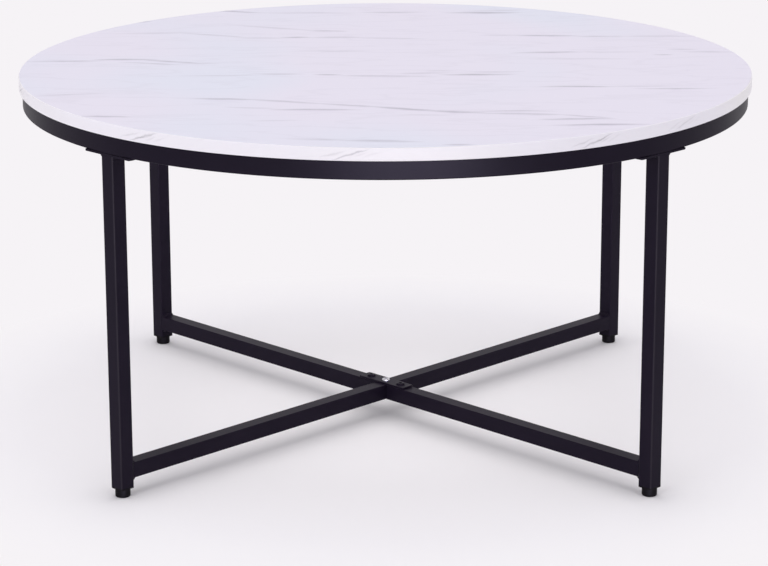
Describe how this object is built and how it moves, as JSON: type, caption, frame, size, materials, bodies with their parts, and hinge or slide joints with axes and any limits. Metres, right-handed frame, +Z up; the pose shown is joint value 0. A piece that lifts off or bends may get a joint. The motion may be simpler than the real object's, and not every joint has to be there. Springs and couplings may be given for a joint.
{
  "type": "round cocktail table",
  "caption": "Low round table with a marble print top on a black tube ring, square tube legs, a low crossed stretcher and screw feet.",
  "frame": {"origin": "on the floor under the middle of the top", "axes": "+Z up, -Y towards the viewer of the picture, +X to the viewer's right"},
  "size_m": [0.8999, 0.9, 0.45],
  "materials": {
    "board": "fibreboard with a pale backing paper",
    "marble_print": "satin white and grey marble print",
    "edge_band": "satin white and grey marble print",
    "black_steel": "satin black powder coat",
    "zinc_steel": "bright zinc",
    "black_plastic": "moulded black"
  },
  "bodies": {
    "table": {"top_board": "board", "marble_laminate": "marble_print", "edge_band": "edge_band", "ring_frame": "black_steel", "through_stretcher": "black_steel", "half_stretcher_back_left": "black_steel", "half_stretcher_front_right": "black_steel", "splice_plate": "black_steel", "stretcher_welds": "black_steel", "leg_plate_welds": "black_steel", "board_screws": "black_steel", "splice_screws": "black_steel", "centre_bolt": "zinc_steel", "leg_front_left": "black_steel", "leg_plate_front_left": "black_steel", "leg_plug_front_left": "black_plastic", "leg_front_right": "black_steel", "leg_plate_front_right": "black_steel", "leg_plug_front_right": "black_plastic", "leg_back_left": "black_steel", "leg_plate_back_left": "black_steel", "leg_plug_back_left": "black_plastic", "leg_back_right": "black_steel", "leg_plate_back_right": "black_steel", "leg_plug_back_right": "black_plastic"},
    "front_left_stud": {"foot_stud_front_left": "zinc_steel"},
    "front_left_foot": {"foot_base_front_left": "black_plastic"},
    "front_right_stud": {"foot_stud_front_right": "zinc_steel"},
    "front_right_foot": {"foot_base_front_right": "black_plastic"},
    "back_left_stud": {"foot_stud_back_left": "zinc_steel"},
    "back_left_foot": {"foot_base_back_left": "black_plastic"},
    "back_right_stud": {"foot_stud_back_right": "zinc_steel"},
    "back_right_foot": {"foot_base_back_right": "black_plastic"}
  },
  "joints": [
    {"name": "foot_travel_front_left", "type": "slide", "parent": "table", "child": "front_left_stud", "axis": [0, 0, -1], "range_m": [0, 0.01]},
    {"name": "foot_turn_front_left", "type": "hinge", "parent": "front_left_stud", "child": "front_left_foot", "pos_m": [-0.30865, -0.30865, 0.01], "axis": [0, 0, -1], "range_deg": [0, 2880]},
    {"name": "foot_travel_front_right", "type": "slide", "parent": "table", "child": "front_right_stud", "axis": [0, 0, -1], "range_m": [0, 0.01]},
    {"name": "foot_turn_front_right", "type": "hinge", "parent": "front_right_stud", "child": "front_right_foot", "pos_m": [0.30865, -0.30865, 0.01], "axis": [0, 0, -1], "range_deg": [0, 2880]},
    {"name": "foot_travel_back_left", "type": "slide", "parent": "table", "child": "back_left_stud", "axis": [0, 0, -1], "range_m": [0, 0.01]},
    {"name": "foot_turn_back_left", "type": "hinge", "parent": "back_left_stud", "child": "back_left_foot", "pos_m": [-0.30865, 0.30865, 0.01], "axis": [0, 0, -1], "range_deg": [0, 2880]},
    {"name": "foot_travel_back_right", "type": "slide", "parent": "table", "child": "back_right_stud", "axis": [0, 0, -1], "range_m": [0, 0.01]},
    {"name": "foot_turn_back_right", "type": "hinge", "parent": "back_right_stud", "child": "back_right_foot", "pos_m": [0.30865, 0.30865, 0.01], "axis": [0, 0, -1], "range_deg": [0, 2880]}
  ],
  "couplings": [
    {"joint": "foot_travel_front_left", "follows": "foot_turn_front_left", "m_per_rad": 0.00019894},
    {"joint": "foot_travel_front_right", "follows": "foot_turn_front_right", "m_per_rad": 0.00019894},
    {"joint": "foot_travel_back_left", "follows": "foot_turn_back_left", "m_per_rad": 0.00019894},
    {"joint": "foot_travel_back_right", "follows": "foot_turn_back_right", "m_per_rad": 0.00019894}
  ]
}
